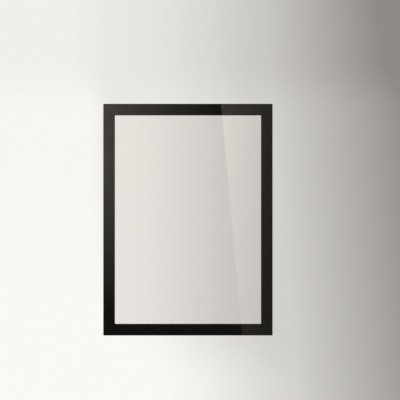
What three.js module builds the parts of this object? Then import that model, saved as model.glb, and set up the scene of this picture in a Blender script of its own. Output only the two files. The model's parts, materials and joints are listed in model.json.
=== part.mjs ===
// Electrostatic display frame for one A4 sheet. Two matching panels lie face to face: a base whose static
// film clings to any smooth upright face, and a cover with the window, hung on a film hinge and held shut by
// magnets. Millimetres, +Z up. The cling film's back lies in the plane y = 0, centred on the origin, and the
// cover faces -Y.
import * as THREE from "three";

// The sheet that is shown
const SHEET_WIDTH = 210;
const SHEET_HEIGHT = 297;
const SHEET_PLAY = 1; // free space beside the sheet, on each side
const SHEET_LIP = 3; // how far the border covers each edge of the sheet

// Die-cut black borders, one on each panel
const BORDER_THICKNESS = 0.4;
const BORDER_EDGE_ROLL = 0.12; // the soft edge that the cutting die leaves
const BORDER_CORNER_RADIUS = 1;
const BORDER_WINDOW_RADIUS = 0.5;

// Clear films: the static one at the back and the window in the cover
const CLING_FILM_THICKNESS = 0.25;
const WINDOW_FILM_THICKNESS = 0.25;
const FILM_INSET = 0.5; // the films stop this far inside the border's outer edge

// Flexible magnetic strips, four on each panel
const MAGNET_WIDTH = 11.2;
const MAGNET_THICKNESS = 0.6;
const MAGNET_EDGE_RADIUS = 0.12;
const MAGNET_INSET = 0.8; // from the border's outer edge to the strip
const MAGNET_BUTT_GAP = 0.3; // between two strips that meet at a corner

// Double-sided tape under each magnetic strip
const TAPE_THICKNESS = 0.08;
const TAPE_MARGIN = 0.5; // the tape is this much narrower than its strip, on each edge

// Film hinge along the left edge, folded between the panels
const HINGE_LEAF_WIDTH = 9;
const HINGE_FILM_THICKNESS = 0.08;
const HINGE_CREASE_WIDTH = 0.6; // the band beside the fold where the film is pressed thin
const HINGE_CREASE_THICKNESS = 0.05;
const HINGE_END_INSET = 3; // the film stops this far short of the top and bottom edges
const FOLD_OUTSET = 0.1; // the fold line stands this far outside the border's edge
const FOLD_CLEARANCE = 0.1; // between the two leaves when the cover is shut

const GLUE_LINE = 0.02; // between bonded layers
const ARC_STEPS = 6; // in each rounded corner
const ROLL_STEPS = 3; // in each rolled edge

// Sizes that follow from the sheet and the strips round it
const SURROUND = SHEET_PLAY + MAGNET_WIDTH + MAGNET_INSET;
const FRAME_WIDTH = SHEET_WIDTH + 2 * SURROUND;
const FRAME_HEIGHT = SHEET_HEIGHT + 2 * SURROUND;
const WINDOW_WIDTH = SHEET_WIDTH - 2 * SHEET_LIP;
const WINDOW_HEIGHT = SHEET_HEIGHT - 2 * SHEET_LIP;

// What each material looks like
const blackPlastic = new THREE.MeshStandardMaterial({ color: 0x14130f, roughness: 0.15, metalness: 0 });
const clearFilm = new THREE.MeshStandardMaterial({
  color: 0xf0f0ee,
  roughness: 0.05,
  metalness: 0,
  transparent: true,
  opacity: 0.2,
});
const magneticRubber = new THREE.MeshStandardMaterial({ color: 0x2b2523, roughness: 0.75, metalness: 0 });
const whiteTape = new THREE.MeshStandardMaterial({ color: 0xdedbd2, roughness: 0.6, metalness: 0 });
const hingeFilm = new THREE.MeshStandardMaterial({
  color: 0xd9d9d6,
  roughness: 0.3,
  metalness: 0,
  transparent: true,
  opacity: 0.5,
});

// Outlines and solids, drawn lying flat: X across, Y up the frame, Z from its back to its front

// Adds a rectangle with rounded corners, centred on the origin, to a shape or to a hole's path.
function roundedRectangle(outline, width, height, radius) {
  const x = width / 2 - radius;
  const y = height / 2 - radius;
  outline.moveTo(x + radius, -y);
  outline.absarc(x, y, radius, 0, Math.PI / 2);
  outline.absarc(-x, y, radius, Math.PI / 2, Math.PI);
  outline.absarc(-x, -y, radius, Math.PI, 1.5 * Math.PI);
  outline.absarc(x, -y, radius, 1.5 * Math.PI, 2 * Math.PI);
  outline.closePath();
  return outline;
}

// A one-piece border cut from sheet: a rounded rectangle with the window cut out and every edge rolled.
function borderGeometry() {
  const shape = roundedRectangle(new THREE.Shape(), FRAME_WIDTH, FRAME_HEIGHT, BORDER_CORNER_RADIUS);
  shape.holes.push(roundedRectangle(new THREE.Path(), WINDOW_WIDTH, WINDOW_HEIGHT, BORDER_WINDOW_RADIUS));
  const geometry = new THREE.ExtrudeGeometry(shape, {
    depth: BORDER_THICKNESS - 2 * BORDER_EDGE_ROLL,
    curveSegments: ARC_STEPS,
    bevelThickness: BORDER_EDGE_ROLL,
    bevelSize: BORDER_EDGE_ROLL,
    bevelOffset: -BORDER_EDGE_ROLL,
    bevelSegments: ROLL_STEPS,
  });
  return geometry.translate(0, 0, BORDER_EDGE_ROLL);
}

// A plain sheet of film that stops a little inside the border's outer edge.
function filmGeometry(thickness) {
  const width = FRAME_WIDTH - 2 * FILM_INSET;
  const height = FRAME_HEIGHT - 2 * FILM_INSET;
  const shape = roundedRectangle(new THREE.Shape(), width, height, BORDER_CORNER_RADIUS);
  return new THREE.ExtrudeGeometry(shape, {
    depth: thickness,
    curveSegments: ARC_STEPS,
    bevelEnabled: false,
  });
}

// An extruded magnetic strip along X: its section is a flat rectangle with softened edges.
function magnetGeometry(length) {
  const section = roundedRectangle(new THREE.Shape(), MAGNET_WIDTH, MAGNET_THICKNESS, MAGNET_EDGE_RADIUS);
  const geometry = new THREE.ExtrudeGeometry(section, {
    depth: length,
    curveSegments: ARC_STEPS,
    bevelEnabled: false,
  });
  geometry.translate(0, MAGNET_THICKNESS / 2, -length / 2);
  return geometry.rotateY(Math.PI / 2).rotateX(Math.PI / 2);
}

// A run of tape along X, under a strip of the given length.
function tapeGeometry(stripLength) {
  const length = stripLength - 2 * TAPE_MARGIN;
  const width = MAGNET_WIDTH - 2 * TAPE_MARGIN;
  return new THREE.BoxGeometry(length, width, TAPE_THICKNESS).translate(0, 0, TAPE_THICKNESS / 2);
}

// One leaf of the film hinge: its section starts thin at the fold line, x = 0, and its glued face is z = 0.
function hingeLeafGeometry() {
  const length = FRAME_HEIGHT - 2 * HINGE_END_INSET;
  const section = new THREE.Shape();
  section.moveTo(0, 0);
  section.lineTo(HINGE_LEAF_WIDTH, 0);
  section.lineTo(HINGE_LEAF_WIDTH, HINGE_FILM_THICKNESS);
  section.lineTo(HINGE_CREASE_WIDTH, HINGE_FILM_THICKNESS);
  section.lineTo(0, HINGE_CREASE_THICKNESS);
  section.closePath();
  const geometry = new THREE.ExtrudeGeometry(section, { depth: length, bevelEnabled: false });
  return geometry.translate(0, 0, -length / 2).rotateX(Math.PI / 2);
}

function piece(name, geometry, material, z) {
  const mesh = new THREE.Mesh(geometry, material);
  mesh.name = name;
  mesh.position.z = z;
  return mesh;
}

// Where the strips lie: the top and bottom run right across, and the sides butt between them.
const ACROSS = FRAME_WIDTH - 2 * MAGNET_INSET;
const UPRIGHT = FRAME_HEIGHT - 2 * (MAGNET_INSET + MAGNET_WIDTH + MAGNET_BUTT_GAP);
const STRIP_X = FRAME_WIDTH / 2 - MAGNET_INSET - MAGNET_WIDTH / 2;
const STRIP_Y = FRAME_HEIGHT / 2 - MAGNET_INSET - MAGNET_WIDTH / 2;
const STRIPS = [
  { side: "top", length: ACROSS, x: 0, y: STRIP_Y, turn: 0 },
  { side: "bottom", length: ACROSS, x: 0, y: -STRIP_Y, turn: 0 },
  { side: "left", length: UPRIGHT, x: -STRIP_X, y: 0, turn: Math.PI / 2 },
  { side: "right", length: UPRIGHT, x: STRIP_X, y: 0, turn: Math.PI / 2 },
];

function laidOnSide(mesh, strip) {
  mesh.position.x = strip.x;
  mesh.position.y = strip.y;
  mesh.rotation.z = strip.turn;
  return mesh;
}

// Heights of the base's layers above the cling film's back
const BACK_BORDER_Z = CLING_FILM_THICKNESS + GLUE_LINE;
const BACK_TAPE_Z = BACK_BORDER_Z + BORDER_THICKNESS + GLUE_LINE;
const BACK_MAGNET_Z = BACK_TAPE_Z + TAPE_THICKNESS + GLUE_LINE;
const BACK_LEAF_Z = BACK_MAGNET_Z + MAGNET_THICKNESS + GLUE_LINE;

// The fold line runs up the left edge, midway between the panels
const FOLD_X = -FRAME_WIDTH / 2 - FOLD_OUTSET;
const FOLD_Z = BACK_LEAF_Z + HINGE_FILM_THICKNESS + FOLD_CLEARANCE / 2;

// Heights of the cover's layers above the fold line
const FRONT_LEAF_Z = FOLD_CLEARANCE / 2 + HINGE_FILM_THICKNESS;
const FRONT_MAGNET_Z = FRONT_LEAF_Z + GLUE_LINE;
const FRONT_TAPE_Z = FRONT_MAGNET_Z + MAGNET_THICKNESS + GLUE_LINE;
const WINDOW_FILM_Z = FRONT_TAPE_Z + TAPE_THICKNESS + GLUE_LINE;
const FRONT_BORDER_Z = WINDOW_FILM_Z + WINDOW_FILM_THICKNESS + GLUE_LINE;

// The base: cling film, border, taped strips and the hinge's fixed leaf.
function makeBase() {
  const base = new THREE.Group();
  base.add(piece("cling_film", filmGeometry(CLING_FILM_THICKNESS), clearFilm, 0));
  base.add(piece("back_border", borderGeometry(), blackPlastic, BACK_BORDER_Z));
  for (const strip of STRIPS) {
    const { side, length } = strip;
    const tape = piece(`back_tape_${side}`, tapeGeometry(length), whiteTape, BACK_TAPE_Z);
    const magnet = piece(`back_magnet_${side}`, magnetGeometry(length), magneticRubber, BACK_MAGNET_Z);
    base.add(laidOnSide(tape, strip), laidOnSide(magnet, strip));
  }
  const leaf = piece("hinge_leaf_back", hingeLeafGeometry(), hingeFilm, BACK_LEAF_Z);
  leaf.position.x = FOLD_X;
  base.add(leaf);
  return base;
}

// The cover: the same layers the other way up, with the window film behind its border. It turns about the
// fold line, so the group's own origin is there and its layers are set off from it.
function makeCover() {
  const cover = new THREE.Group();
  const layers = new THREE.Group();
  layers.position.x = -FOLD_X;
  for (const strip of STRIPS) {
    const { side, length } = strip;
    const magnet = piece(`front_magnet_${side}`, magnetGeometry(length), magneticRubber, FRONT_MAGNET_Z);
    const tape = piece(`front_tape_${side}`, tapeGeometry(length), whiteTape, FRONT_TAPE_Z);
    layers.add(laidOnSide(magnet, strip), laidOnSide(tape, strip));
  }
  layers.add(piece("window_film", filmGeometry(WINDOW_FILM_THICKNESS), clearFilm, WINDOW_FILM_Z));
  layers.add(piece("front_border", borderGeometry(), blackPlastic, FRONT_BORDER_Z));
  const leaf = piece("hinge_leaf_front", hingeLeafGeometry(), hingeFilm, FRONT_LEAF_Z);
  leaf.rotation.x = Math.PI; // its glued face looks forward, to the cover's strip
  cover.add(layers, leaf);
  cover.position.set(FOLD_X, 0, FOLD_Z);
  return cover;
}

const displayFrame = new THREE.Group();
displayFrame.add(makeBase(), makeCover());
displayFrame.rotation.x = Math.PI / 2; // stands the flat stack upright, facing -Y

export default displayFrame;
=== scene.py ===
import json
import math

import bpy
import numpy as np
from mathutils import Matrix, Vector


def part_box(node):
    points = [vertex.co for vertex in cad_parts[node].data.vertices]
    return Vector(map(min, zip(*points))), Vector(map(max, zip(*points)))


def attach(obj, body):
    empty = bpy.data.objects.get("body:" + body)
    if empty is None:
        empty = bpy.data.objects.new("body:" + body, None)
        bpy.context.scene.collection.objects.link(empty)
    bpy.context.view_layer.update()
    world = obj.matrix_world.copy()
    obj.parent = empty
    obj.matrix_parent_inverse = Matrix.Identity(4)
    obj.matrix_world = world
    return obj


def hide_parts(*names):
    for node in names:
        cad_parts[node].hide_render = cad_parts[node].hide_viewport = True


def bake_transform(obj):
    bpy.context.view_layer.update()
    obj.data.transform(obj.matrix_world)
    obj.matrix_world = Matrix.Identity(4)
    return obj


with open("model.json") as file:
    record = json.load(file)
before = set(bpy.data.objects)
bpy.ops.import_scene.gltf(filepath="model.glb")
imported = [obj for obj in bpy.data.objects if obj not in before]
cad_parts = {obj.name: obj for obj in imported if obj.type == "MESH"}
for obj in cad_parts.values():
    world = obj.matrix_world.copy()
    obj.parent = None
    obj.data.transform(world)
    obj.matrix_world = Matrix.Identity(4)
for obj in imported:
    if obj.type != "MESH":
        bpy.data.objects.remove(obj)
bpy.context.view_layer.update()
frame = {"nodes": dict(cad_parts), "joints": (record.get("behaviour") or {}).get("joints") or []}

# Cling film
# A sheet of clear soft vinyl whose flat back holds the frame up by static alone. It is cut a little smaller
# than the black border that is bonded to its front, and only inside that border is it free to ripple.

MM = 0.001


class Socket:
    """An output in a material's nodes. Arithmetic adds Math nodes, and node() adds any other kind."""

    def __init__(self, tree, output=None):
        self.tree = tree
        self.output = output

    def node(self, kind, settings=None, sockets=None, output=0):
        """Adds a node: its settings are set first, then its sockets get plain values or links."""
        made = self.tree.nodes.new("ShaderNode" + kind)
        for name, value in (settings or {}).items():
            setattr(made, name, value)
        for name, value in (sockets or {}).items():
            if isinstance(value, Socket):
                self.tree.links.new(value.output, made.inputs[name])
            else:
                made.inputs[name].default_value = value
        return Socket(self.tree, made.outputs[output] if made.outputs else None)

    def maths(self, operation, *values):
        """A Math node on numbers and sockets."""
        return self.node("Math", {"operation": operation}, dict(enumerate(values)))

    def __add__(self, other):
        return self.maths("ADD", self, other)

    def __sub__(self, other):
        return self.maths("SUBTRACT", self, other)

    def __rsub__(self, other):
        return self.maths("SUBTRACT", other, self)

    def __mul__(self, other):
        return self.maths("MULTIPLY", self, other)

    def __truediv__(self, other):
        return self.maths("DIVIDE", self, other)

    def __pow__(self, other):
        return self.maths("POWER", self, other)

    __radd__ = __add__
    __rmul__ = __mul__

    def is_negative(self):
        """1 where this is below 0, and 0 elsewhere."""
        return self.maths("LESS_THAN", self, 0)

    def ramp(self, low, high, rise="SMOOTHSTEP"):
        """0 at low and 1 at high, held past them, with a smooth or a LINEAR rise between."""
        return self.node(
            "MapRange",
            {"interpolation_type": rise},
            {"Value": self, "From Min": low, "From Max": high},
        )

    def between(self, low, high):
        """The colour low where this is 0, high where it is 1, and their mix between."""
        return self.node("Mix", {"data_type": "RGBA"}, {0: self, 6: low, 7: high}, output=2)


def new_material(name):
    """An empty material, and a socket to add its nodes from."""
    material = bpy.data.materials.new(name)
    material.use_nodes = True
    material.node_tree.nodes.clear()
    return material, Socket(material.node_tree)


def coordinates(nodes):
    """The three Object coordinates, in metres."""
    place = nodes.node("TexCoord", output="Object")
    return [nodes.node("SeparateXYZ", sockets={"Vector": place}, output=axis) for axis in "XYZ"]


def mottle(nodes, scale, detail=2, stretch=(1, 1, 1)):
    """Cloudy noise on Object coordinates: a larger scale makes it finer, and a stretch below 1 draws it out
    along that axis."""
    place = nodes.node("TexCoord", output="Object")
    place = nodes.node("Mapping", sockets={"Vector": place, "Scale": stretch})
    return nodes.node("TexNoise", sockets={"Vector": place, "Scale": scale, "Detail": detail})


BLACK = (0.0064, 0.0058, 0.0047, 1)
DRY_BOND = (0.0125, 0.0118, 0.0105, 1)  # the black where the glue under a film hasn't wetted it
CLEAR_TINT = (0.9865, 0.9825, 0.9795, 1)  # what one face of a film lets through
FULL_MIRROR = (1, 1, 1, 1)
PLASTIC_INDEX = 1.54
CLING_INDEX = 1.62  # above the plastic's own, because the outer face mirrors for both
FILM_ROUGHNESS = 0.012
SMEAR_ROUGHNESS = 0.02  # what a smear adds
GLUE_SETBACK = 0.6 * MM  # the glue stops this far short of the border's inner edge

border_mesh = frame["nodes"]["front_border"].data
border_points = np.empty(len(border_mesh.vertices) * 3)
border_mesh.vertices.foreach_get("co", border_points)
from_middle = np.abs(border_points.reshape(-1, 3)[:, [0, 2]])  # across and upwards
ring_middle = (from_middle.min(axis=0) + from_middle.max(axis=0)) / 2
inner_corners = from_middle[(from_middle < ring_middle).all(axis=1)]
OPENING = inner_corners.max(axis=0)  # half its width and half its height


def clear_film_material(name, index):
    """Clear film. Where it isn't glued, in the opening and just under the border, what its outer face
    doesn't mirror passes straight through, tinted a little by each face. Round that it shows the black that
    it is bonded to, mottled where the glue is dry, under its own gloss."""
    material, nodes = new_material(name)
    smears = mottle(nodes, scale=26, detail=3, stretch=(1, 1, 0.45)).ramp(0.5, 0.8)
    roughness = FILM_ROUGHNESS + SMEAR_ROUGHNESS * smears
    mirrored = nodes.node("Fresnel", sockets={"IOR": index})
    inside = nodes.node("NewGeometry", output="Backfacing")
    clear = nodes.node("BsdfTransparent", sockets={"Color": CLEAR_TINT})
    gloss = nodes.node("BsdfGlossy", sockets={"Color": FULL_MIRROR, "Roughness": roughness})
    free = nodes.node("MixShader", sockets={0: mirrored * (1 - inside), 1: clear, 2: gloss})
    glued = mottle(nodes, scale=210, detail=4).ramp(0.52, 0.78).between(BLACK, DRY_BOND)
    bonded = nodes.node(
        "BsdfPrincipled",
        sockets={"Base Color": glued, "Roughness": roughness, "IOR": PLASTIC_INDEX},
    )
    x, _, z = coordinates(nodes)
    half_width, half_height = OPENING + GLUE_SETBACK
    unglued = (x * x - half_width**2).is_negative() * (z * z - half_height**2).is_negative()
    surface = nodes.node("MixShader", sockets={0: unglued, 1: bonded, 2: free})
    nodes.node("OutputMaterial", sockets={"Surface": surface})
    return material


SHARP_EDGE = math.radians(35)  # faces that meet at more than this keep a hard edge


def new_piece(name, points, faces, material):
    """A mesh object from an array of points and an array of faces, smooth but for its sharp edges."""
    mesh = bpy.data.meshes.new(name)
    mesh.from_pydata(points.tolist(), [], faces.tolist())
    mesh.materials.append(material)
    mesh.shade_smooth()
    mesh.set_sharp_from_angle(angle=SHARP_EDGE)
    piece = bpy.data.objects.new(name, mesh)
    bpy.context.scene.collection.objects.link(piece)
    return piece


def grid_faces(rows, columns, first=0):
    """The quads of a grid of points that are numbered row by row from first."""
    corner = first + np.arange(rows - 1)[:, None] * columns + np.arange(columns - 1)
    quads = np.stack([corner, corner + 1, corner + columns + 1, corner + columns], axis=-1)
    return quads.reshape(-1, 4)


FILM_CORNER = 1 * MM
CORNER_STEPS = 7
FILM_ROWS = 120
FILM_COLUMNS = 88
FREE_MARGIN = 24 * MM  # the ripple grows to its full height this far inside the border's opening


def film_sheet(name, node, ripple, material):
    """A film with rounded corners. Its rows run from edge to edge of the outline, each as wide as the
    outline is at that height. The front and back ripple together, more and more from the opening's edge
    inwards, and a narrow edge joins them all round."""
    low, high = (np.array(corner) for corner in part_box(node))
    half_width, half_height = (high[0] - low[0]) / 2, (high[2] - low[2]) / 2
    turn = np.linspace(0, math.pi / 2, CORNER_STEPS)
    straight = np.linspace(half_height - FILM_CORNER, FILM_CORNER - half_height, FILM_ROWS)[1:-1]
    round_end = half_height - FILM_CORNER + FILM_CORNER * np.cos(turn)
    height = np.concatenate([round_end, straight, -round_end[::-1]])
    past_straight = np.maximum(np.abs(height) - (half_height - FILM_CORNER), 0)
    row_end = half_width - FILM_CORNER + np.sqrt(np.maximum(FILM_CORNER**2 - past_straight**2, 0))
    x = row_end[:, None] * np.linspace(-1, 1, FILM_COLUMNS)
    z = np.repeat(height[:, None], FILM_COLUMNS, axis=1)
    free = np.clip(np.minimum(OPENING[0] - np.abs(x), OPENING[1] - np.abs(z)) / FREE_MARGIN, 0, 1)
    lift = ripple(x, z) * free * free * (3 - 2 * free)
    front = np.stack([x, low[1] + lift, z], axis=-1).reshape(-1, 3)
    back = np.stack([x, high[1] + lift, z], axis=-1).reshape(-1, 3)
    rows, count = len(height), len(front)
    number = np.arange(count).reshape(rows, FILM_COLUMNS)
    edge = np.concatenate([number[0], number[1:, -1], number[-1, -2::-1], number[-2:0:-1, 0]])
    after = np.roll(edge, -1)
    faces = np.concatenate([
        grid_faces(rows, FILM_COLUMNS)[:, ::-1],
        grid_faces(rows, FILM_COLUMNS, count),
        np.stack([edge, after, after + count, edge + count], axis=-1),
    ])
    return new_piece(name, np.concatenate([front, back]), faces, material)


RIPPLE = 0.006 * MM
CLING_CRESTS = (130 * MM, 340 * MM)  # from crest to crest of the waves, across and up the film


def waves(x, z, crests, start=0):
    """Straight waves from -1 to 1: the sine of one turn for each crest gone across and up the film."""
    across, upward = crests
    return np.sin(2 * math.pi * (x / across + z / upward + start))


def cling_ripple(x, z):
    """Long shallow waves that only ever lift the film forwards, off what it clings to."""
    return -RIPPLE * (1 + waves(x, z, CLING_CRESTS))


clear_vinyl = clear_film_material("clear_vinyl", CLING_INDEX)
static_film = film_sheet("static_film", "cling_film", cling_ripple, clear_vinyl)
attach(static_film, "base")
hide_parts("cling_film")

# Back and front borders
# Two like rings die-cut from smooth black plastic sheet. The back one stiffens the cling film and carries
# the base's magnetic strips, and the front one is the frame that shows.

DUST = (0.03, 0.028, 0.026, 1)
DUST_COVER = 0.5  # how much of the black a speck hides
SHEET_INDEX = 1.5
SHEET_ROUGHNESS = 0.012
PATCH_ROUGHNESS = 0.012  # what a dulled patch adds
DUST_ROUGHNESS = 0.1  # what a speck adds
GRAIN_DEPTH = 0.02 * MM
GRAIN_STRENGTH = 0.02


def black_sheet_material(name):
    """Glossy warm black sheet with a faint calendered grain up its length, specks of dust and dulled
    patches."""
    material, nodes = new_material(name)
    grain = mottle(nodes, scale=900, stretch=(1, 1, 0.12))
    patches = mottle(nodes, scale=40, detail=4).ramp(0.45, 0.75)
    specks = mottle(nodes, scale=1500).ramp(0.76, 0.8)
    bump = {"Strength": GRAIN_STRENGTH, "Distance": GRAIN_DEPTH, "Height": grain}
    surface = nodes.node(
        "BsdfPrincipled",
        sockets={
            "Base Color": (DUST_COVER * specks).between(BLACK, DUST),
            "Roughness": SHEET_ROUGHNESS + PATCH_ROUGHNESS * patches + DUST_ROUGHNESS * specks,
            "IOR": SHEET_INDEX,
            "Normal": nodes.node("Bump", sockets=bump),
        },
    )
    nodes.node("OutputMaterial", sockets={"Surface": surface})
    return material


black_sheet = black_sheet_material("black_sheet")
for node in ("back_border", "front_border"):
    frame["nodes"][node].material_slots[0].material = black_sheet

# Tapes
# Runs of thin off-white double-sided tape that bond each magnetic strip to its panel. They are a little
# narrower than the strips, so that only a thin pale line shows at the edge.

SIDES = ("top", "bottom", "left", "right")
TAPE_SHADE = (0.66, 0.63, 0.55, 1)
TAPE_PALE = (0.78, 0.76, 0.7, 1)
TAPE_ROUGHNESS = 0.45
PALE_ROUGHNESS = 0.3  # what the palest cloud adds


def tape_material(name):
    """Off-white acrylic tape with a soft cloudy tone."""
    material, nodes = new_material(name)
    cloud = mottle(nodes, scale=320, detail=3)
    surface = nodes.node(
        "BsdfPrincipled",
        sockets={
            "Base Color": cloud.between(TAPE_SHADE, TAPE_PALE),
            "Roughness": TAPE_ROUGHNESS + PALE_ROUGHNESS * cloud,
        },
    )
    nodes.node("OutputMaterial", sockets={"Surface": surface})
    return material


white_tape = tape_material("white_tape")
for panel in ("back", "front"):
    for side in SIDES:
        frame["nodes"][f"{panel}_tape_{side}"].material_slots[0].material = white_tape

# Magnetic strips
# Flexible strips of rubber filled with ferrite powder, extruded flat with soft edges and cut to length. The
# ones on the base and the cover meet face to face and hold the frame shut.

FERRITE_DARK = (0.016, 0.013, 0.012, 1)
FERRITE_PALE = (0.038, 0.031, 0.028, 1)
LINE_SHARE = 0.6  # the lines' share of the tone, and clouds make the rest
LINE_DEPTH = 0.03 * MM
LINE_STRENGTH = 0.35
DRAWN_OUT = 0.004  # the lines are this much finer across the strip than along it
FERRITE_ROUGHNESS = 0.55
FERRITE_BLOOM = 0.25  # the roughness that the palest cloud adds


def magnet_material(name, stretch):
    """Matte brown-black ferrite rubber with fine lines along the way it was extruded."""
    material, nodes = new_material(name)
    lines = mottle(nodes, scale=3200, stretch=stretch).ramp(0.2, 0.8)
    cloud = mottle(nodes, scale=150, detail=4)
    tone = LINE_SHARE * lines + (1 - LINE_SHARE) * cloud
    bump = {"Strength": LINE_STRENGTH, "Distance": LINE_DEPTH, "Height": lines}
    surface = nodes.node(
        "BsdfPrincipled",
        sockets={
            "Base Color": tone.between(FERRITE_DARK, FERRITE_PALE),
            "Roughness": FERRITE_ROUGHNESS + FERRITE_BLOOM * cloud,
            "Normal": nodes.node("Bump", sockets=bump),
        },
    )
    nodes.node("OutputMaterial", sockets={"Surface": surface})
    return material


across_strip = magnet_material("magnet_across", (DRAWN_OUT, 1, 1))
upright_strip = magnet_material("magnet_upright", (1, 1, DRAWN_OUT))
for panel in ("back", "front"):
    for side in SIDES:
        strip = across_strip if side in ("top", "bottom") else upright_strip
        frame["nodes"][f"{panel}_magnet_{side}"].material_slots[0].material = strip

# Hinge film
# One strip of milky film, creased along its middle and folded between the panels at the left edge, with a
# leaf stuck to each panel's strip. On the real frame it bends at the crease when the cover opens; here it
# is built folded shut.

hinge = frame["joints"][0]
FOLD_X, FOLD_Y = hinge["pos_m"][:2]
leaf_low, leaf_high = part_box("hinge_leaf_back")
OUTER = leaf_high[1] - FOLD_Y  # from the fold line to the glued face
INNER = leaf_low[1] - FOLD_Y  # from the fold line to the leaf's free face
CREASE_WIDTH = 0.6 * MM  # each leaf thins to the crease over this width
CREASE_THICKNESS = 0.05 * MM
FOLD_STEPS = 13
HINGE_ROWS = 41


def folded_film(name, material):
    """A section carried up the frame's height: in along the back leaf, half round the fold line, and out
    along the front leaf. The outer face keeps one distance from the fold line, and the inner face is nearer
    to it, but less so in the crease, where the film is thinner. The attribute from_fold is the distance
    along the film from the fold."""
    turn = np.linspace(0, math.pi, FOLD_STEPS)
    leaf_x = np.array([leaf_high[0], FOLD_X + CREASE_WIDTH])
    creased = OUTER - CREASE_THICKNESS
    outer_x = np.concatenate([leaf_x, FOLD_X - OUTER * np.sin(turn), leaf_x[::-1]])
    outer_y = np.concatenate([[OUTER, OUTER], OUTER * np.cos(turn), [-OUTER, -OUTER]])
    inner_x = np.concatenate([leaf_x, FOLD_X - creased * np.sin(turn), leaf_x[::-1]])
    inner_y = np.concatenate([[INNER, INNER], creased * np.cos(turn), [-INNER, -INNER]])
    rows, half = HINGE_ROWS, len(outer_x)
    columns = 2 * half
    points = np.empty((rows, columns, 3))
    points[..., 0] = np.concatenate([outer_x, inner_x[::-1]])
    points[..., 1] = FOLD_Y + np.concatenate([outer_y, inner_y[::-1]])
    points[..., 2] = np.linspace(leaf_low[2], leaf_high[2], rows)[:, None]
    corner = np.arange(rows - 1)[:, None] * columns + np.arange(columns)
    beside = np.arange(rows - 1)[:, None] * columns + np.roll(np.arange(columns), -1)
    walls = np.stack([corner, beside, beside + columns, corner + columns], axis=-1).reshape(-1, 4)
    step = np.arange(half - 1)
    bottom = np.stack([step, columns - 1 - step, columns - 2 - step, step + 1], axis=-1)
    top = bottom[:, ::-1] + (rows - 1) * columns
    piece = new_piece(name, points.reshape(-1, 3), np.concatenate([walls, bottom, top]), material)
    path = np.concatenate([[0], np.cumsum(np.hypot(np.diff(outer_x), np.diff(outer_y)))])
    from_fold = np.abs(path - path[-1] / 2)
    attribute = piece.data.attributes.new("from_fold", "FLOAT", "POINT")
    attribute.data.foreach_set("value", np.tile(np.concatenate([from_fold, from_fold[::-1]]), rows))
    return piece


MILK = (0.62, 0.62, 0.6, 1)
MILK_TINT = (0.93, 0.93, 0.92, 1)  # what the clear share of one face lets through
HAZE = 0.19  # how milky the film is
CLOUD_HAZE = 0.08  # what a cloud adds
CREASE_HAZE = 0.5  # what the worked crease adds
WORKED = (0.2 * MM, 0.9 * MM)  # distances from the fold over which the crease's whitening fades out
MILK_ROUGHNESS = 0.3
CREASE_ROUGHNESS = 0.25  # what the worked crease adds


def milky_film_material(name):
    """Half-clear milky film with a satin face, whitened where the crease has been worked."""
    material, nodes = new_material(name)
    from_fold = nodes.node("Attribute", {"attribute_name": "from_fold"}, output="Fac")
    worked = 1 - from_fold.ramp(*WORKED)
    clouds = mottle(nodes, scale=90, detail=3).ramp(0.35, 0.7)
    haze = HAZE + CLOUD_HAZE * clouds + CREASE_HAZE * worked
    clear = nodes.node("BsdfTransparent", sockets={"Color": MILK_TINT})
    milk = nodes.node(
        "BsdfPrincipled",
        sockets={"Base Color": MILK, "Roughness": MILK_ROUGHNESS + CREASE_ROUGHNESS * worked},
    )
    surface = nodes.node("MixShader", sockets={0: haze, 1: clear, 2: milk})
    nodes.node("OutputMaterial", sockets={"Surface": surface})
    return material


hinge_film = folded_film("hinge_film", milky_film_material("milky_film"))
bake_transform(hinge_film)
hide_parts("hinge_leaf_back", "hinge_leaf_front")

# Window film
# A sheet of clear glossy film behind the front border, which covers the paper. It is drawn tight by the
# border, so its ripples are slight.

WINDOW_INDEX = 1.72  # above the plastic's own, because the outer face mirrors for both
WINDOW_CRESTS = (160 * MM, 410 * MM)
CROSSING_CRESTS = (-370 * MM, 230 * MM)
CROSSING_HEIGHT = 0.7  # of the first set's height
CROSSING_START = 0.3  # the second set's lead at the film's middle, in crests


def window_ripple(x, z):
    """Two crossing sets of long shallow waves, added up."""
    crossing = CROSSING_HEIGHT * waves(x, z, CROSSING_CRESTS, CROSSING_START)
    return RIPPLE * (waves(x, z, WINDOW_CRESTS) + crossing)


clear_window = clear_film_material("clear_window", WINDOW_INDEX)
window_sheet = film_sheet("window_sheet", "window_film", window_ripple, clear_window)
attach(window_sheet, "cover")
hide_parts("window_film")

# Camera
# It looks straight at the cover, square to it, from as far away as its lens needs. It stands where the
# border's outline falls on the same pixels as in the photograph.

PICTURE = 400  # pixels each way
LENS = 85  # its focal length, in millimetres
OUTLINE_LEFT, OUTLINE_RIGHT = 103.1, 272.8  # the border's outer edges, in pixels
OUTLINE_TOP, OUTLINE_BOTTOM = 103.8, 335.5
border_low, border_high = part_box("front_border")
COVER_Y = border_low[1]
PIXEL = (border_high[2] - border_low[2]) / (OUTLINE_BOTTOM - OUTLINE_TOP)  # metres on the cover's face
camera_data = bpy.data.cameras.new("camera")
camera_data.lens = LENS
camera = bpy.data.objects.new("camera", camera_data)
bpy.context.scene.collection.objects.link(camera)
bpy.context.scene.camera = camera
EYE_X = (PICTURE / 2 - (OUTLINE_LEFT + OUTLINE_RIGHT) / 2) * PIXEL
EYE_Z = ((OUTLINE_TOP + OUTLINE_BOTTOM) / 2 - PICTURE / 2) * PIXEL
EYE_DISTANCE = PICTURE * PIXEL * camera_data.lens / camera_data.sensor_width
camera.location = (EYE_X, COVER_Y - EYE_DISTANCE, EYE_Z)
camera.rotation_euler = (math.pi / 2, 0, 0)

# Studio
# A plain pale floor that curves up into a round wall, under even light from all round and one soft lamp.
# The wall behind the object carries painted shade. In front hangs a panel of light that only shows as a
# reflection in the gloss.

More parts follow.
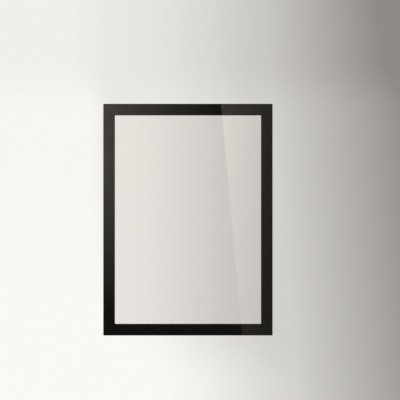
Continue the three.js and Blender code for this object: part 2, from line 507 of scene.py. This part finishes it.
STUDIO_RADIUS = 2.6
STUDIO_FLOOR = -1.3
STUDIO_CURVE = 0.8
STUDIO_TOP = 2.4
CURVE_STEPS = 17
ROUND_STEPS = 97


def studio_wall(name, material):
    """A profile turned round the upright axis: flat floor, a quarter circle and an upright wall."""
    bend = np.linspace(0, math.pi / 2, CURVE_STEPS)
    curve_radius = STUDIO_RADIUS - STUDIO_CURVE + STUDIO_CURVE * np.sin(bend)
    curve_height = STUDIO_FLOOR + STUDIO_CURVE * (1 - np.cos(bend))
    radius = np.concatenate([[0], curve_radius, [STUDIO_RADIUS]])
    height = np.concatenate([[STUDIO_FLOOR], curve_height, [STUDIO_TOP]])
    around = np.linspace(0, 2 * math.pi, ROUND_STEPS)
    points = np.empty((len(around), len(radius), 3))
    points[..., 0] = np.outer(np.cos(around), radius)
    points[..., 1] = np.outer(np.sin(around), radius)
    points[..., 2] = height
    return new_piece(name, points.reshape(-1, 3), grid_faces(len(around), len(radius)), material)


def on_cover(x, z, distance):
    """Where the camera sees, on the cover's face, a point that lies this far behind it or is mirrored from
    as far in front of it."""
    scale = 1 + distance / EYE_DISTANCE
    return (x - EYE_X) / scale + EYE_X, (z - EYE_Z) / scale + EYE_Z


GLOW_ACROSS = (-115 * MM, 50 * MM)  # on the cover's face, where the glow is full and where it has gone
GLOW_UPWARDS = (-125 * MM, 82 * MM)  # where it begins and where it is full
GLOW_FALL = 1.25  # over 1, it falls faster at first


def upper_glow(x, z):
    """Light that is full at the upper left of the cover's face and fades across it and down it."""
    across = 1 - x.ramp(*GLOW_ACROSS, "LINEAR")
    return across**GLOW_FALL * z.ramp(*GLOW_UPWARDS, "LINEAR")


PALE_PAINT = (0.855, 0.853, 0.842, 1)
# the colour of the painted shade on the wall where it is deepest
SHADED_PAINT = (0.243, 0.233, 0.226, 1)
ABOVE_FRAME = (140 * MM, 220 * MM)  # heights on the cover's face over which the shades change upwards
BELOW_FRAME = (-235 * MM, -140 * MM)  # and downwards
GENTLE_SHADE = 0.46
GENTLE_ACROSS = (-106 * MM, 130 * MM)
GENTLE_SHIFT = 54 * MM  # how much further right it lies below the frame
TOP_SHADE = 0.09
DEEP_SHADE = 0.8
DEEP_ACROSS = (130 * MM, 400 * MM)
DEEP_SLANT = 0.08  # how far it moves left for each step up
EVEN_SHADE = 0.23
EVEN_LEFT, EVEN_RIGHT = -138 * MM, -98 * MM  # it sets in across the left border
EVEN_SPREAD = 39 * MM  # how much further each way it sets in above the frame
EVEN_OUTSIDE = 0.15  # its share left of the frame
EVEN_FADE = 0.25  # what it loses above the frame
SHADE_SIDE = (0.8, 1.35)  # on the wall, where all shades fade out to the right
SHADE_DEPTH = (0, 1.5)  # how far behind the object they set in
RING_LIGHTS = 9
RING_EDGE = -0.7  # the cosine at which a light begins
RING_DIM = (0.08, 0.08, 0.08, 1)
RING_BRIGHT = (0.93, 0.93, 0.93, 1)
RING_MEAN = 0.435  # what the ring fades to at the floor


def pale_paint(name):
    """Flat pale paint with soft painted shades fixed on the wall behind the object. Their places are given
    on the cover's face, in line with the camera: a gentle painted shade from left to right, further right
    below the frame and deeper above it, a deep one past its right edge, and one that darkens the wall
    behind the window where the glow is mirrored, so that the window stays even. What gloss mirrors of the
    wall is a ring of upright lights."""
    material, nodes = new_material(name)
    wall_x, wall_y, wall_z = coordinates(nodes)
    x, z = on_cover(wall_x, wall_z, STUDIO_RADIUS - COVER_Y)
    above = z.ramp(*ABOVE_FRAME)
    below = 1 - z.ramp(*BELOW_FRAME)
    gentle = GENTLE_SHADE * (x - GENTLE_SHIFT * below).ramp(*GENTLE_ACROSS) + TOP_SHADE * above
    deep = DEEP_SHADE * (x + DEEP_SLANT * z).ramp(*DEEP_ACROSS, "LINEAR")
    window = x.ramp(EVEN_LEFT - EVEN_SPREAD * above, EVEN_RIGHT + EVEN_SPREAD * above)
    even = EVEN_SHADE * upper_glow(x, z) * (EVEN_OUTSIDE + (1 - EVEN_OUTSIDE) * window)
    even = even * (1 - EVEN_FADE * above)
    behind = (1 - wall_x.ramp(*SHADE_SIDE)) * wall_y.ramp(*SHADE_DEPTH)
    # the painted shades darken the pale paint towards the shaded grey
    colour = ((gentle + deep + even) * behind).between(PALE_PAINT, SHADED_PAINT)
    paint = nodes.node("BsdfDiffuse", sockets={"Color": colour})
    angle = nodes.maths("ARCTAN2", wall_x, wall_y)
    ring = nodes.maths("COSINE", RING_LIGHTS * angle).ramp(RING_EDGE, 1)
    above_floor = wall_z.ramp(STUDIO_FLOOR, STUDIO_FLOOR + STUDIO_CURVE)
    glow = (RING_MEAN + (ring - RING_MEAN) * above_floor).between(RING_DIM, RING_BRIGHT)
    lights = nodes.node("Emission", sockets={"Color": glow})
    mirrored = nodes.node("LightPath", output="Is Glossy Ray")
    surface = nodes.node("MixShader", sockets={0: mirrored, 1: paint, 2: lights})
    nodes.node("OutputMaterial", sockets={"Surface": surface})
    material.cycles.emission_sampling = "NONE"
    return material


wall = studio_wall("studio_wall", pale_paint("pale_paint"))
wall.visible_diffuse = False  # the world's even light reaches the object through it
wall.visible_shadow = False

PANEL_Y = -2.2
PANEL_MARGIN = 0.15  # the panel fades out over this width at its edges
PANEL_LEFT, PANEL_RIGHT = -0.75, 0.75
PANEL_BOTTOM, PANEL_TOP = -0.8, 0.75
PANEL_STRENGTH = 1.15
PANEL_LIGHT = (1, 0.91, 0.77, 1)
NO_LIGHT = (0, 0, 0, 1)
EDGE_X = 61 * MM  # where the band's edge is mirrored, at half the cover's height
EDGE_SLOPE = -0.0915  # how far that edge goes sideways for each step up
EDGE_BLUR = 0.3 * MM
BAND_BOTTOM = 0.365  # the band's light at the bottom
BAND_RISE = 0.383  # what it gains at the top
BAND_UPWARDS = (-110 * MM, 154 * MM)
BAND_ACROSS = (45 * MM, 163 * MM)


def fade_at_ends(value, low, high):
    """1 between low and high, falling to 0 over the panel's margin at each end."""
    return value.ramp(low, low + PANEL_MARGIN) * (1 - value.ramp(high - PANEL_MARGIN, high))


def mirrored_glow(name):
    """The panel's light, with its places given on the cover's face, where the camera sees them mirrored: a
    glow that fades from the upper left, and past a slanting edge a band that fades to the right and
    downwards."""
    material, nodes = new_material(name)
    panel_x, _, panel_z = coordinates(nodes)
    x, z = on_cover(panel_x, panel_z, COVER_Y - PANEL_Y)
    beyond = (x - EDGE_SLOPE * z - EDGE_X).ramp(-EDGE_BLUR, EDGE_BLUR)
    upwards = BAND_BOTTOM + BAND_RISE * z.ramp(*BAND_UPWARDS, "LINEAR")
    band = upwards * (1 - x.ramp(*BAND_ACROSS, "LINEAR"))
    glow = (upper_glow(x, z) * (1 - beyond) + band * beyond).between(NO_LIGHT, PANEL_LIGHT)
    light = nodes.node("Emission", sockets={"Color": glow, "Strength": PANEL_STRENGTH})
    nothing = nodes.node("BsdfTransparent")
    shown = fade_at_ends(panel_x, PANEL_LEFT, PANEL_RIGHT)
    shown = shown * fade_at_ends(panel_z, PANEL_BOTTOM, PANEL_TOP)
    surface = nodes.node("MixShader", sockets={0: shown, 1: nothing, 2: light})
    nodes.node("OutputMaterial", sockets={"Surface": surface})
    material.cycles.emission_sampling = "NONE"
    return material


panel_points = np.array([
    [PANEL_LEFT, PANEL_Y, PANEL_BOTTOM],
    [PANEL_LEFT, PANEL_Y, PANEL_TOP],
    [PANEL_RIGHT, PANEL_Y, PANEL_TOP],
    [PANEL_RIGHT, PANEL_Y, PANEL_BOTTOM],
])
panel_face = np.array([[0, 1, 2, 3]])
light_panel = new_piece("light_panel", panel_points, panel_face, mirrored_glow("mirrored_glow"))
light_panel.visible_camera = False
light_panel.visible_diffuse = False
light_panel.visible_shadow = False

KEY_PLACE = Vector((-1.2, -1.6, 1.6))
KEY_SIZE = 1.4
KEY_WATTS = 6
key_data = bpy.data.lights.new("key_lamp", "AREA")
key_data.size = KEY_SIZE
key_data.energy = KEY_WATTS
key_lamp = bpy.data.objects.new("key_lamp", key_data)
key_lamp.location = KEY_PLACE
key_lamp.rotation_euler = (-KEY_PLACE).to_track_quat("-Z", "Y").to_euler()  # it faces the object
key_lamp.visible_camera = False
bpy.context.scene.collection.objects.link(key_lamp)

AMBIENT_LIGHT = (1, 0.985, 0.965, 1)
AMBIENT_STRENGTH = 1.1
world = bpy.data.worlds.new("world")
world.use_nodes = True
background = world.node_tree.nodes["Background"]
background.inputs["Color"].default_value = AMBIENT_LIGHT
background.inputs["Strength"].default_value = AMBIENT_STRENGTH
bpy.context.scene.world = world
bpy.context.scene.view_settings.view_transform = "Standard"
